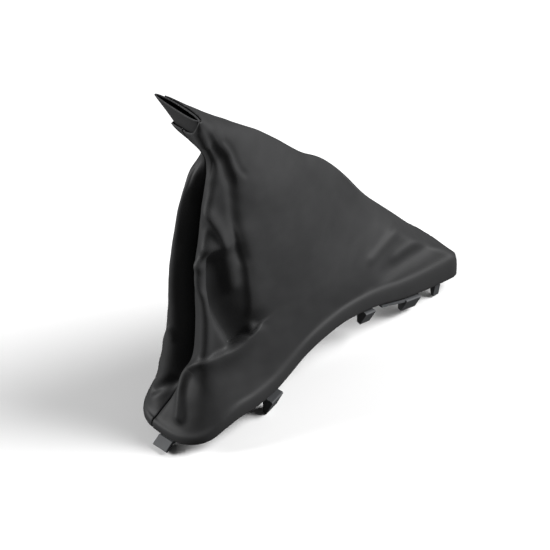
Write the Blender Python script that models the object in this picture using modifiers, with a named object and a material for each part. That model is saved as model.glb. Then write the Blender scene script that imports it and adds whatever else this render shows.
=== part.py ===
"""Handbrake gaiter: a sewn artificial leather boot on a clip-in plastic frame.

The gaiter is drawn the way it sits in a console: clips straight down, x to the rear,
-y the side nearest the viewer.  A station is a distance forward of the rear end of the
plastic ring, so x = -station.  At the end everything is tipped nose-up to the angle at
which the loose gaiter stands on its two rear pegs and its front tongue.
"""
import math
from collections import namedtuple

import bmesh
import bpy
from mathutils import Vector

MM = 0.001

# Plastic ring, seen from above
RING_LENGTH = 237.0 * MM
REAR_HALF_WIDTH = 26.0 * MM
FRONT_HALF_WIDTH = 34.0 * MM
REAR_CORNER_RADIUS = 4.6 * MM
TAPER_START = 68.0 * MM
NOSE_LENGTH = 38.0 * MM
NOSE_SQUARENESS = 2.95
RING_WALL = 2.4 * MM

# Underside of the leather hem, seen from the side: station and height
HEM_PROFILE = [
    (0.0, 0.0), (24.0 * MM, 0.2 * MM), (50.0 * MM, 2.6 * MM), (68.0 * MM, 6.1 * MM),
    (90.0 * MM, 7.8 * MM), (108.0 * MM, 7.0 * MM), (137.0 * MM, -0.4 * MM),
    (167.0 * MM, -15.6 * MM), (186.0 * MM, -20.8 * MM), (201.0 * MM, -22.8 * MM),
    (213.0 * MM, -27.0 * MM), (223.0 * MM, -32.6 * MM), (238.0 * MM, -37.5 * MM),
]
REAR_RIM_HEIGHT = 15.2 * MM
MIDDLE_RIM_HEIGHT = 10.4 * MM
NOSE_RIM_HEIGHT = 6.4 * MM
RIM_TOP_CLEARANCE = 2.6 * MM

# Leather
LEATHER = 1.2 * MM
FIT_GAP = 0.3 * MM
HEM_GAP = 0.6 * MM
SEAM_GAP = 0.3 * MM
HEM_CLEARANCE = LEATHER + 1.2 * MM
HEM_BEND = 1.0 * MM
SPINE_STRIP = 1.4 * MM
SPINE_BLUNTNESS = 3.6 * MM
NECK_SQUARENESS = 2.5
SEAM_OFFSET_AT_NOSE = 10.0 * MM
RIDGE_ARC = 42.0 * MM
SHOULDER_WIDTH = 4.0 * MM
SHOULDER_RISE = 0.8 * MM

# Neck sleeve
MOUTH_HALF_WIDTH = 22.0 * MM
SLEEVE_DEPTH = 29.0 * MM
SLEEVE_STANDS_PROUD = 1.2 * MM
FRONT_EDGE_DROP = 20.0 * MM
FAR_EDGE_END = 0.5
SLEEVE_LOOSENESS = 1.2 * MM

# Snap clips
CLIP_ROOT_HEIGHT = 7.0 * MM
CLIP_DEPTH = 13.0 * MM
FRONT_CLIP_DEPTH = 17.5 * MM
FRONT_LEDGE_DROP = 5.0 * MM
CLIP_REACH = 2.5 * MM
CLIP_THICKNESS = 4.0 * MM
CLIP_TIP_WIDTH = 3.0 * MM
CLIP_TIP_CHAMFER = 0.9 * MM
LEDGE_DROP = 1.4 * MM
BARB_LAND = 1.0 * MM
BARB_ROUNDING = 0.6 * MM
ROOT_STEP = 2.4 * MM
FRONT_CLIP_WIDTH = 10.0 * MM
MIDDLE_CLIP_WIDTH = 8.6 * MM
REAR_CLIP_WIDTH = 12.6 * MM
FRONT_CLIP_STATION = 167.0 * MM
MIDDLE_CLIP_STATION = 79.0 * MM
REAR_CLIP_STATION = 40.5 * MM
PEG_STATION = 15.5 * MM
PEG_WIDTH = 4.6 * MM
PEG_DEPTH = 11.3 * MM
PEG_BULGE = 0.8 * MM
PEG_BULGE_DROP = 3.0 * MM
PEG_TIP_START = 1.2 * MM
PEG_TIP_END = 3.0 * MM
PEG_TIP_CHAMFER = 1.5 * MM
RAIL_START_STATION = 47.5 * MM
RAIL_END_STATION = 68.0 * MM
RAIL_DROP = 2.6 * MM
RAIL_HEIGHT = 1.6 * MM
RAIL_RIB_WIDTH = 1.6 * MM
RAIL_BACK = 2.0 * MM
RAIL_RIB_SETBACK = 0.4 * MM
RAIL_RIB_FROM_END = 2.0 * MM
RAIL_OVERRUN = 1.0 * MM

# Front tongue
TONGUE_WIDTH = 13.0 * MM
TONGUE_OFFSET = 4.0 * MM
TONGUE_THICKNESS = 1.9 * MM
TONGUE_REACH = 7.9 * MM
TONGUE_SLOPE = math.radians(42.0)
TONGUE_ROOT_HEIGHT = 3.4 * MM
TONGUE_DROP = 0.6 * MM
TONGUE_INNER_BEND = 1.0 * MM
NOSE_ROUNDING_ALLOWANCE = 1.4 * MM

# Mesh density
FRONT_COLUMNS = 12
SIDE_COLUMNS = 28
SIDE_GRADING = 1.35
CORNER_COLUMNS = 3
REAR_COLUMNS = 2
BOOT_ROWS = 27
ROW_GRADING = 1.2
SLEEVE_COLUMNS = 28
SLEEVE_ROWS = 5

# Boot, on the outer face of the leather: seven levels between the rim and the mouth
LEVEL_HEIGHTS = [0.20, 0.42, 0.63, 0.72, 0.79, 0.90, 1.00]
FRONT_SEAM = [
    (213.5 * MM, 20.0 * MM), (211.5 * MM, 75.0 * MM), (204.5 * MM, 130.0 * MM),
    (197.5 * MM, 149.0 * MM), (192.0 * MM, 162.5 * MM), (217.0 * MM, 191.5 * MM),
    (227.5 * MM, 215.0 * MM),
]
RIDGE = [
    (217.0 * MM, 20.5 * MM, 28.0 * MM), (215.5 * MM, 16.5 * MM, 85.0 * MM),
    (209.5 * MM, 13.5 * MM, 138.0 * MM), (205.0 * MM, 12.5 * MM, 153.0 * MM),
    (197.5 * MM, 11.0 * MM, 167.0 * MM), (212.0 * MM, 18.0 * MM, 193.5 * MM),
    (222.5 * MM, MOUTH_HALF_WIDTH, 216.0 * MM),
]
TOP_SEAM = [
    (48.0 * MM, 67.0 * MM), (88.0 * MM, 112.0 * MM), (131.0 * MM, 149.5 * MM),
    (151.0 * MM, 165.0 * MM), (168.0 * MM, 178.5 * MM), (195.0 * MM, 198.5 * MM),
    (217.5 * MM, 216.0 * MM),
]
NEAR_LOBES = [1.0 * MM, 0.5 * MM, 1.0 * MM, 1.0 * MM, 1.0 * MM, 0.0, 0.0]
FAR_LOBES = [8.0 * MM, 9.5 * MM, 8.5 * MM, 6.0 * MM, 2.0 * MM, 0.0, 0.0]
BELLIES = [12.6 * MM, 11.5 * MM, 8.0 * MM, 6.0 * MM, 4.5 * MM, 0.0, 0.0]
ROUNDNESS = [0.0, 0.0, 0.0, 0.18, 0.5, 1.0, 1.0]
NEAR_SETBACK = [0.0, 0.0, 1.5 * MM, 2.0 * MM, 0.0, 0.0, 0.0]
RIDGE_ROUNDINGS = [0.034, 0.038, 0.050, 0.075, 0.100, 0.0, 0.0]
ROUNDING_STEPS = 4
Level = namedtuple("Level", "height front ridge spine near_lobe far_lobe belly roundness"
                   " near_setback rounding")
LEVELS = [Level(*parts) for parts in zip(LEVEL_HEIGHTS, FRONT_SEAM, RIDGE, TOP_SEAM,
                                         NEAR_LOBES, FAR_LOBES, BELLIES, ROUNDNESS,
                                         NEAR_SETBACK, RIDGE_ROUNDINGS)]
COLLAR_LENGTH = math.dist(LEVELS[-1].front, LEVELS[-2].front)

# Folds of the leather: side (1 near, -1 far), half width, height above the smooth form, and
# path over the panel as share of the panel's width and height up the boot
FOLD_FADE = 14.0 * MM
SEAM_HOLD = 8.0 * MM
RIM_HOLD = 0.03
COLLAR_HOLD = 0.90
Fold = namedtuple("Fold", "side spread rise path")
FOLDS = [
    # hollow behind the front ridge, from the neck down to the skirt
    Fold(1.0, 11.0 * MM, -9.5 * MM,
         [(0.265, 0.60), (0.28, 0.53), (0.28, 0.46), (0.27, 0.37), (0.225, 0.24)]),
    Fold(-1.0, 12.0 * MM, -6.0 * MM,
         [(0.24, 0.70), (0.28, 0.56), (0.31, 0.44), (0.31, 0.33), (0.29, 0.22)]),
    # edge of the tight main panel
    Fold(1.0, 4.5 * MM, -2.6 * MM,
         [(0.18, 0.87), (0.275, 0.67), (0.342, 0.54), (0.36, 0.40), (0.36, 0.31),
          (0.345, 0.25)]),
    # sharp ridge that runs down the front, and hooks in to the seam above the rim
    Fold(1.0, 4.2 * MM, 4.2 * MM,
         [(0.130, 0.48), (0.14, 0.42), (0.148, 0.32), (0.138, 0.22), (0.09, 0.17),
          (0.062, 0.12), (0.067, 0.08), (0.079, 0.04)]),
    Fold(1.0, 5.0 * MM, -4.0 * MM,
         [(0.185, 0.46), (0.195, 0.38), (0.20, 0.30), (0.185, 0.22)]),
    Fold(-1.0, 5.0 * MM, 1.5 * MM,
         [(0.185, 0.47), (0.20, 0.38), (0.20, 0.29), (0.16, 0.20), (0.12, 0.13),
          (0.10, 0.06)]),
    # roll of the skirt under the hollow
    Fold(1.0, 4.0 * MM, 5.5 * MM,
         [(0.37, 0.245), (0.345, 0.215), (0.294, 0.178), (0.244, 0.170), (0.177, 0.174),
          (0.115, 0.155)]),
    Fold(1.0, 5.0 * MM, -3.5 * MM,
         [(0.35, 0.275), (0.32, 0.235), (0.27, 0.215), (0.21, 0.215), (0.17, 0.22)]),
    Fold(-1.0, 6.0 * MM, 3.0 * MM,
         [(0.38, 0.20), (0.31, 0.16), (0.25, 0.15), (0.18, 0.15), (0.12, 0.13)]),
    # creases round the neck
    Fold(1.0, 5.0 * MM, 2.0 * MM, [(0.13, 0.90), (0.165, 0.84), (0.20, 0.76), (0.235, 0.66)]),
    # slack lines in the hollow and on the upper panel
    Fold(1.0, 5.0 * MM, 1.6 * MM, [(0.14, 0.64), (0.18, 0.59), (0.229, 0.54), (0.27, 0.46)]),
    Fold(1.0, 7.0 * MM, 1.2 * MM, [(0.62, 0.90), (0.50, 0.84), (0.44, 0.76), (0.51, 0.67)]),
    Fold(-1.0, 8.0 * MM, 1.2 * MM, [(0.60, 0.86), (0.50, 0.75), (0.55, 0.62)]),
    # fan of folds at the rear, and the groove above the rim
    Fold(1.0, 6.0 * MM, 2.2 * MM, [(0.955, 0.17), (0.90, 0.14), (0.83, 0.125), (0.765, 0.12)]),
    Fold(1.0, 5.0 * MM, 2.2 * MM, [(0.96, 0.075), (0.91, 0.08), (0.85, 0.08), (0.79, 0.07)]),
    Fold(-1.0, 7.0 * MM, 1.6 * MM, [(0.95, 0.13), (0.87, 0.11), (0.78, 0.10)]),
    Fold(1.0, 5.5 * MM, -4.0 * MM, [(0.72, 0.035), (0.80, 0.035), (0.88, 0.03), (0.96, 0.03)]),
    Fold(-1.0, 5.5 * MM, -2.6 * MM, [(0.74, 0.035), (0.82, 0.035), (0.90, 0.03), (0.96, 0.03)]),
    # dimple beside the front seam on the far side
    Fold(-1.0, 4.0 * MM, -2.5 * MM, [(0.03, 0.09), (0.045, 0.065), (0.07, 0.045)]),
]


def smooth(t):
    """Ease from 0 to 1 with no corner at either end."""
    t = max(0.0, min(1.0, t))
    return t * t * (3.0 - 2.0 * t)


def lerp(a, b, t):
    return a + (b - a) * t


def through(knots, values, t):
    """Smooth curve through values, each at its knot; works on numbers and vectors."""
    last = len(knots) - 1
    i = 0
    while i < last - 1 and t > knots[i + 1]:
        i += 1
    span = knots[i + 1] - knots[i]
    u = (t - knots[i]) / span

    def slope(k):
        low = max(k - 1, 0)
        high = min(k + 1, last)
        return (values[high] - values[low]) * (span / (knots[high] - knots[low]))

    u2 = u * u
    u3 = u2 * u
    return (values[i] * (2 * u3 - 3 * u2 + 1) + slope(i) * (u3 - 2 * u2 + u)
            + values[i + 1] * (3 * u2 - 2 * u3) + slope(i + 1) * (u3 - u2))


def hem_height(station):
    """Height of the underside of the leather hem at a station."""
    stations = [point[0] for point in HEM_PROFILE]
    heights = [point[1] for point in HEM_PROFILE]
    held = max(stations[0], min(stations[-1], station))
    return through(stations, heights, held)


def rim_height(station):
    """Height of the covered rim above the underside of the hem."""
    nose = smooth((station - (RING_LENGTH - NOSE_LENGTH)) / NOSE_LENGTH)
    middle = smooth(station / (0.5 * RING_LENGTH))
    body = lerp(REAR_RIM_HEIGHT, MIDDLE_RIM_HEIGHT, middle)
    return lerp(body, NOSE_RIM_HEIGHT, nose)


def half_ring():
    """Outline of one half of the ring from nose to rear centre: (station, half width)."""
    shoulder = RING_LENGTH - NOSE_LENGTH
    steps = 48
    points = []
    for i in range(steps + 1):
        angle = 0.5 * math.pi * i / steps
        reach = math.cos(angle) ** (2.0 / NOSE_SQUARENESS) if i < steps else 0.0
        width = math.sin(angle) ** (2.0 / NOSE_SQUARENESS)
        points.append((shoulder + NOSE_LENGTH * reach, FRONT_HALF_WIDTH * width))
    for i in range(1, steps + 1):
        station = lerp(shoulder, REAR_CORNER_RADIUS, i / steps)
        grown = smooth((station - TAPER_START) / (shoulder - TAPER_START))
        points.append((station, lerp(REAR_HALF_WIDTH, FRONT_HALF_WIDTH, grown)))
    for i in range(1, 9):
        angle = 0.5 * math.pi * i / 8
        points.append((REAR_CORNER_RADIUS * (1.0 - math.sin(angle)),
                       REAR_HALF_WIDTH - REAR_CORNER_RADIUS * (1.0 - math.cos(angle))))
    points.append((0.0, 0.0))
    return points


def measured(points):
    """Running length along a flat outline."""
    lengths = [0.0]
    for a, b in zip(points, points[1:]):
        lengths.append(lengths[-1] + math.hypot(b[0] - a[0], b[1] - a[1]))
    return lengths


OUTLINE = half_ring()
OUTLINE_LENGTHS = measured(OUTLINE)
HALF_LENGTH = OUTLINE_LENGTHS[-1]
RIDGE_SHARE = RIDGE_ARC / HALF_LENGTH


def ring_at(arc):
    """Point and outward direction on the plastic ring, arc measured from the nose.

    A positive arc runs along the near side and a negative one along the far side.
    """
    side = -1.0 if arc < 0.0 else 1.0
    if arc == 0.0:
        return RING_LENGTH, 0.0, 1.0, 0.0
    held = min(abs(arc), HALF_LENGTH)
    i = 0
    while i < len(OUTLINE) - 2 and OUTLINE_LENGTHS[i + 1] < held:
        i += 1
    a, b = OUTLINE[i], OUTLINE[i + 1]
    length = OUTLINE_LENGTHS[i + 1] - OUTLINE_LENGTHS[i]
    u = (held - OUTLINE_LENGTHS[i]) / length
    station = lerp(a[0], b[0], u)
    width = lerp(a[1], b[1], u)
    along = ((b[0] - a[0]) / length, (b[1] - a[1]) / length)
    return station, side * width, along[1], -side * along[0]


def ring_point(arc, outward, above_hem):
    """Point at a distance outward of the plastic ring and above the hem underside."""
    station, width, out_station, out_width = ring_at(arc)
    z = hem_height(station) + above_hem
    return Vector((station + out_station * outward, width + out_width * outward, z))


def level_point(level, share, side):
    """Point on one level of the boot; share runs from the front seam to the spine."""
    front = Vector((level.front[0], 0.0, level.front[1]))
    ridge = Vector(level.ridge)
    if side > 0.0:
        ridge -= Vector((1.0, 0.5, 0.0)) * level.near_setback
    spine = Vector((level.spine[0], 0.0, level.spine[1]))
    if share < RIDGE_SHARE:
        u = share / RIDGE_SHARE
        point = front.lerp(ridge, u)
        lobe = level.near_lobe if side > 0.0 else level.far_lobe
        point.x += lobe * math.sin(math.pi * u)
        quarter = 0.5 * math.pi * u
        oval = ridge + (front - ridge) * math.cos(quarter) ** (2.0 / NECK_SQUARENESS)
        oval.y = ridge.y * math.sin(quarter) ** (2.0 / NECK_SQUARENESS)
    else:
        u = (share - RIDGE_SHARE) / (1.0 - RIDGE_SHARE)
        point = ridge.lerp(spine, u)
        point.y += level.belly * math.sin(math.pi * u)
        point.y += SPINE_BLUNTNESS * smooth(2.0 * u) * math.sqrt(max(0.0, 1.0 - u ** 6))
        quarter = min(0.5 * math.pi * u, 0.5 * math.pi)
        oval = ridge + (spine - ridge) * math.sin(quarter) ** (2.0 / NECK_SQUARENESS)
        oval.y = ridge.y * max(0.0, math.cos(quarter)) ** (2.0 / NECK_SQUARENESS)
    point = point.lerp(oval, level.roundness)
    point.y = side * max(point.y, 0.5 * SEAM_GAP)
    return point


def rounded_point(level, share, side):
    """Point on one level with the corner of its ridge rounded off."""
    reach = min(level.rounding, share, 1.0 - share)
    if abs(share - RIDGE_SHARE) > reach or reach <= 0.0:
        return level_point(level, share, side)
    total = Vector((0.0, 0.0, 0.0))
    for i in range(-ROUNDING_STEPS, ROUNDING_STEPS + 1):
        total += level_point(level, share + reach * i / ROUNDING_STEPS, side)
    return total / (2 * ROUNDING_STEPS + 1)


def rim_arc(share, side):
    """Arc on the ring that belongs to a share of the panel's width.

    The front seam meets the rim a little to the far side of the centre line.
    """
    seam = side * 0.5 * SEAM_GAP - SEAM_OFFSET_AT_NOSE
    return lerp(seam, side * (HALF_LENGTH - 0.5 * SEAM_GAP), share)


def shoulder_point(share, side):
    """Where the leather leaves the rim, just inside its top edge."""
    arc = rim_arc(share, side)
    station = ring_at(arc)[0]
    outward = LEATHER + FIT_GAP - SHOULDER_WIDTH
    return ring_point(arc, outward, rim_height(station) + SHOULDER_RISE)


def boot_form(share, height, side):
    """Point on the boot without its folds; height runs from the rim to the mouth."""
    knots = [0.0] + [level.height for level in LEVELS]
    values = [shoulder_point(share, side)]
    values += [rounded_point(level, share, side) for level in LEVELS]
    return through(knots, values, height)


def boot_normal(share, height, side):
    """Outward direction of the boot without its folds."""
    step = 0.01
    left, right = max(share - step, 0.0), min(share + step, 1.0)
    low, high = max(height - step, 0.0), min(height + step, 1.0)
    across = boot_form(right, height, side) - boot_form(left, height, side)
    upward = boot_form(share, high, side) - boot_form(share, low, side)
    return (across.cross(upward) * side).normalized()


def fold_line(fold):
    """Fine line of points along the crest of a fold."""
    knots = list(range(len(fold.path)))
    corners = [Vector(place) for place in fold.path]
    steps = 8 * knots[-1]
    places = [through(knots, corners, i * knots[-1] / steps) for i in range(steps + 1)]
    return [boot_form(place.x, place.y, fold.side) for place in places]


FOLD_LINES = [(fold, fold_line(fold)) for fold in FOLDS]


def fold_rise(point, side):
    """Height of all the folds of one side over a point of the smooth form."""
    total = 0.0
    for fold, line in FOLD_LINES:
        if fold.side != side:
            continue
        distances = [(point - place).length for place in line]
        gap = min(distances)
        if gap > 3.0 * fold.spread:
            continue
        nearest = distances.index(gap)
        to_start = sum((b - a).length for a, b in zip(line[:nearest], line[1:nearest + 1]))
        to_end = sum((b - a).length for a, b in zip(line[nearest:], line[nearest + 1:]))
        fade = smooth(to_start / FOLD_FADE) * smooth(to_end / FOLD_FADE)
        total += fold.rise * fade * math.exp(-(gap / fold.spread) ** 2)
    return total


def boot_point(share, height, side):
    """Point on the outer face of the boot, folds included."""
    point = boot_form(share, height, side)
    held = smooth(height / RIM_HOLD)
    held *= 1.0 - smooth((height - COLLAR_HOLD) / (1.0 - COLLAR_HOLD) * 2.0)
    for seam in (0.0, 1.0):
        to_seam = (point - boot_form(seam, height, side)).length
        held *= smooth(to_seam / SEAM_HOLD)
    return point + boot_normal(share, height, side) * (fold_rise(point, side) * held)


def ring_shares():
    """Shares along half the ring, nose to rear centre, closer where it turns."""
    corner_length = 0.5 * math.pi * REAR_CORNER_RADIUS
    corner_end = 1.0 - (REAR_HALF_WIDTH - REAR_CORNER_RADIUS) / HALF_LENGTH
    corner_start = corner_end - corner_length / HALF_LENGTH
    shares = [RIDGE_SHARE * i / FRONT_COLUMNS for i in range(FRONT_COLUMNS)]
    shares += [lerp(RIDGE_SHARE, corner_start, (i / SIDE_COLUMNS) ** SIDE_GRADING)
               for i in range(SIDE_COLUMNS)]
    shares += [lerp(corner_start, corner_end, i / CORNER_COLUMNS)
               for i in range(CORNER_COLUMNS)]
    shares += [lerp(corner_end, 1.0, i / REAR_COLUMNS) for i in range(REAR_COLUMNS + 1)]
    return shares


def top_of_panel(share, side):
    """Height at which the panel's top edge is cut; it slants down towards the far side."""
    rising = share / RIDGE_SHARE
    if side < 0.0:
        rising = (share - RIDGE_SHARE) / (FAR_EDGE_END - RIDGE_SHARE)
    drop = lerp(FRONT_EDGE_DROP, SLEEVE_STANDS_PROUD, smooth(rising))
    return 1.0 - drop / COLLAR_LENGTH * (1.0 - LEVELS[-2].height)


def hem_rows(side):
    """Rows of the hem: in under the ring's wall, up its outer face and over its top."""
    cover = LEATHER + HEM_GAP
    rows = []
    for outward, above_hem, above_rim in (
            (-RING_WALL, 0.0, None), (cover - HEM_BEND, 0.0, None), (cover, HEM_BEND, None),
            (cover, None, -2.0 * HEM_BEND), (cover - 0.5 * HEM_BEND, None, -0.6 * HEM_BEND),
            (cover - 2.0 * HEM_BEND, None, 0.0)):
        row = []
        for share in ring_shares():
            arc = rim_arc(share, side)
            height = above_hem
            if above_rim is not None:
                height = rim_height(ring_at(arc)[0]) + above_rim
            row.append(ring_point(arc, outward, height))
        rows.append(flat_at_spine(row, side))
    return rows


def flat_at_spine(row, side):
    """Lay the last strip of a row level, so the two panels butt squarely at the spine."""
    spine = row[-1]
    spine.y = side * 0.5 * SEAM_GAP
    strip = spine.copy()
    strip.y = side * min(SPINE_STRIP, 0.5 * abs(row[-2].y))
    return row[:-1] + [strip, spine]


def panel_rows(side):
    """All rows of one leather panel, from the tucked edge of the hem to the top edge."""
    rows = hem_rows(side)
    for i in range(BOOT_ROWS + 1):
        row = []
        for share in ring_shares():
            height = top_of_panel(share, side) * (i / BOOT_ROWS) ** ROW_GRADING
            row.append(boot_point(share, height, side))
        rows.append(flat_at_spine(row, side))
    return rows


def set_in(heights, path, height, inset, middle):
    """Point of a path moved level towards the middle until it lies inset under it."""
    lip = through(heights, path, height)
    rising = lip - through(heights, path, height - 0.01)
    level = Vector((middle.x, 0.0, middle.z)) - lip
    level.normalize()
    lean = level.cross(rising.normalized()).length
    return lip + level * (inset / lean)


def sleeve_rows():
    """Rows of the neck sleeve, from its lower end inside the neck to its open mouth."""
    heights = [level.height for level in LEVELS]
    fronts = [Vector((level.front[0], 0.0, level.front[1])) for level in LEVELS]
    ridges = [Vector(level.ridge) for level in LEVELS]
    spines = [Vector((level.spine[0], 0.0, level.spine[1])) for level in LEVELS]
    cover = LEATHER + FIT_GAP
    rows = []
    for i in range(SLEEVE_ROWS + 1):
        below = 1.0 - i / SLEEVE_ROWS
        height = 1.0 - below * SLEEVE_DEPTH / COLLAR_LENGTH * (1.0 - LEVELS[-2].height)
        inset = cover + SLEEVE_LOOSENESS * below
        ridge = through(heights, ridges, height)
        front = set_in(heights, fronts, height, inset, ridge)
        spine = set_in(heights, spines, height, inset, ridge)
        row = []
        for j in range(SLEEVE_COLUMNS):
            turn = 2.0 * math.pi * (j + 0.5) / SLEEVE_COLUMNS
            lip = front if math.cos(turn) > 0.0 else spine
            reach = lip - Vector((ridge.x, 0.0, ridge.z))
            across = math.copysign(abs(math.sin(turn)) ** (2.0 / NECK_SQUARENESS),
                                   math.sin(turn))
            point = Vector((ridge.x, (ridge.y - inset) * across, ridge.z))
            row.append(point + reach * abs(math.cos(turn)) ** (2.0 / NECK_SQUARENESS))
        rows.append(row)
    return rows


def to_part(point):
    """From station, near side and height to the part's axes."""
    return Vector((-point.x, -point.y, point.z))


def sheet_mesh(name, rows, looped, flipped):
    """Mesh of an open sheet from rows of points; looped rows close on themselves."""
    shape = bmesh.new()
    grid = [[shape.verts.new(to_part(point)) for point in row] for row in rows]
    columns = len(rows[0])
    for lower, upper in zip(grid, grid[1:]):
        for j in range(columns if looped else columns - 1):
            k = (j + 1) % columns
            corners = [lower[j], lower[k], upper[k], upper[j]]
            shape.faces.new(corners[::-1] if flipped else corners)
    mesh = bpy.data.meshes.new(name)
    shape.to_mesh(mesh)
    shape.free()
    mesh.shade_smooth()
    return mesh


def new_object(name, mesh, material, collection):
    """Put a mesh in the scene as a named object of one material."""
    mesh.materials.append(material)
    item = bpy.data.objects.new(name, mesh)
    collection.objects.link(item)
    return item


def thicken(item, thickness):
    """Give an open sheet its thickness, inwards from its outer face."""
    wall = item.modifiers.new("Thickness", "SOLIDIFY")
    wall.thickness = thickness
    wall.offset = -1.0
    wall.use_quality_normals = True


def plain_material(name, colour, roughness):
    """Material of one even colour."""
    material = bpy.data.materials.new(name)
    material.use_nodes = True
    shader = material.node_tree.nodes["Principled BSDF"]
    shader.inputs["Base Color"].default_value = (*colour, 1.0)
    shader.inputs["Roughness"].default_value = roughness
    shader.inputs["Metallic"].default_value = 0.0
    return material


def make_panel(name, side, material, collection):
    """One side of the boot with its hem, as one piece of leather."""
    mesh = sheet_mesh(name, panel_rows(side), False, side < 0.0)
    panel = new_object(name, mesh, material, collection)
    thicken(panel, LEATHER)
    return panel


def make_sleeve(material, collection):
    """Short flattened tube that lines the neck and stands just above the panels."""
    mesh = sheet_mesh("neck_sleeve", sleeve_rows(), True, False)
    sleeve = new_object("neck_sleeve", mesh, material, collection)
    thicken(sleeve, LEATHER)
    return sleeve


def ring_rows():
    """Rows of the ring's outer face, all the way round."""
    near = [share * HALF_LENGTH for share in ring_shares()]
    arcs = near[:-1] + [-arc for arc in near[:0:-1]]
    rows = [[ring_point(arc, 0.0, HEM_CLEARANCE) for arc in arcs]]
    rows.append([])
    for arc in arcs:
        height = rim_height(ring_at(arc)[0]) - RIM_TOP_CLEARANCE
        rows[1].append(ring_point(arc, 0.0, height))
    return rows


def clip_outline(depth, ledge, thickness):
    """Side view of a snap clip: outward of the ring, and above the hem."""
    shank_outer = -RING_WALL - FIT_GAP
    shank_inner = shank_outer - thickness
    return [
        (-0.5 * RING_WALL, CLIP_ROOT_HEIGHT), (shank_inner, CLIP_ROOT_HEIGHT),
        (shank_inner, -depth + CLIP_TIP_CHAMFER), (shank_inner + CLIP_TIP_WIDTH, -depth),
        (CLIP_REACH, -ledge - BARB_LAND), (CLIP_REACH - BARB_ROUNDING, -ledge),
        (shank_outer, -ledge), (shank_outer, ROOT_STEP), (-0.5 * RING_WALL, ROOT_STEP),
    ]


def peg_outline():
    """Side view of a rear locating peg."""
    shank_outer = -RING_WALL - FIT_GAP
    shank_inner = shank_outer - CLIP_THICKNESS
    return [
        (-0.5 * RING_WALL, CLIP_ROOT_HEIGHT), (shank_inner, CLIP_ROOT_HEIGHT),
        (shank_inner, -PEG_DEPTH + PEG_TIP_CHAMFER),
        (shank_inner + PEG_TIP_START, -PEG_DEPTH), (shank_inner + PEG_TIP_END, -PEG_DEPTH),
        (shank_outer + PEG_BULGE, -PEG_BULGE_DROP), (shank_outer, -LEDGE_DROP),
        (shank_outer, ROOT_STEP), (-0.5 * RING_WALL, ROOT_STEP),
    ]


def rail_outline():
    """Side view of the short rail that hangs under the hem beside the rear clip."""
    outer = LEATHER
    inner = -RING_WALL - FIT_GAP - RAIL_BACK
    return [(outer, -RAIL_DROP), (outer, -RAIL_DROP + RAIL_HEIGHT),
            (inner, -RAIL_DROP + RAIL_HEIGHT), (inner, -RAIL_DROP)]


def rib_outline():
    """Side view of the rib that carries the rail's free end."""
    outer = LEATHER - RAIL_RIB_SETBACK
    shank_outer = -RING_WALL - FIT_GAP
    inner = shank_outer - RAIL_BACK
    return [(-0.5 * RING_WALL, CLIP_ROOT_HEIGHT), (inner, CLIP_ROOT_HEIGHT),
            (inner, -RAIL_DROP), (outer, -RAIL_DROP), (outer, -LEDGE_DROP),
            (shank_outer, -LEDGE_DROP), (shank_outer, ROOT_STEP),
            (-0.5 * RING_WALL, ROOT_STEP)]


def tongue_outline():
    """Side view of the front tongue: under the hem, then forward and down."""
    drop = Vector((math.cos(TONGUE_SLOPE), -math.sin(TONGUE_SLOPE)))
    thick = Vector((math.sin(TONGUE_SLOPE), math.cos(TONGUE_SLOPE))) * TONGUE_THICKNESS
    bend = Vector((LEATHER + FIT_GAP, -TONGUE_DROP))
    under = bend - thick
    tip = bend + drop * TONGUE_REACH
    shank_outer = -RING_WALL - FIT_GAP - NOSE_ROUNDING_ALLOWANCE
    return [
        (-0.5 * RING_WALL, TONGUE_ROOT_HEIGHT),
        (shank_outer - TONGUE_THICKNESS, TONGUE_ROOT_HEIGHT),
        (shank_outer - TONGUE_THICKNESS, -TONGUE_DROP - TONGUE_THICKNESS),
        (bend.x - TONGUE_INNER_BEND, -TONGUE_DROP - TONGUE_THICKNESS),
        tuple(tip - thick), tuple(tip), tuple(bend),
        (shank_outer, -TONGUE_DROP), (shank_outer, ROOT_STEP), (-0.5 * RING_WALL, ROOT_STEP),
    ]


def arc_at_station(station):
    """Arc on the near side at which the ring passes a station behind its nose."""
    low, high = 0.0, HALF_LENGTH
    for _ in range(40):
        middle = 0.5 * (low + high)
        if ring_at(middle)[0] > station:
            low = middle
        else:
            high = middle
    return 0.5 * (low + high)


def moulded(name, outline, width, arc, cutters):
    """Solid of a side view, spread along the ring by its width."""
    station, _, out_station, out_width = ring_at(arc)
    base = ring_point(arc, 0.0, 0.0)
    outward = Vector((out_station, out_width, 0.0))
    ahead = hem_height(station - out_width * MM)
    behind = hem_height(station + out_width * MM)
    along = Vector((-out_width, out_station, (ahead - behind) / (2.0 * MM)))
    shape = bmesh.new()
    start = [shape.verts.new(to_part(base + outward * p[0] + Vector((0, 0, p[1]))
                                     - along * (0.5 * width))) for p in outline]
    face = shape.faces.new(start)
    grown = bmesh.ops.extrude_face_region(shape, geom=[face])
    moved = [item for item in grown["geom"] if isinstance(item, bmesh.types.BMVert)]
    bmesh.ops.translate(shape, verts=moved, vec=to_part(along * width))
    bmesh.ops.recalc_face_normals(shape, faces=shape.faces)
    mesh = bpy.data.meshes.new(name)
    shape.to_mesh(mesh)
    shape.free()
    item = bpy.data.objects.new(name, mesh)
    item.hide_render = True
    item.display_type = "WIRE"
    cutters.objects.link(item)
    return item


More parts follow.
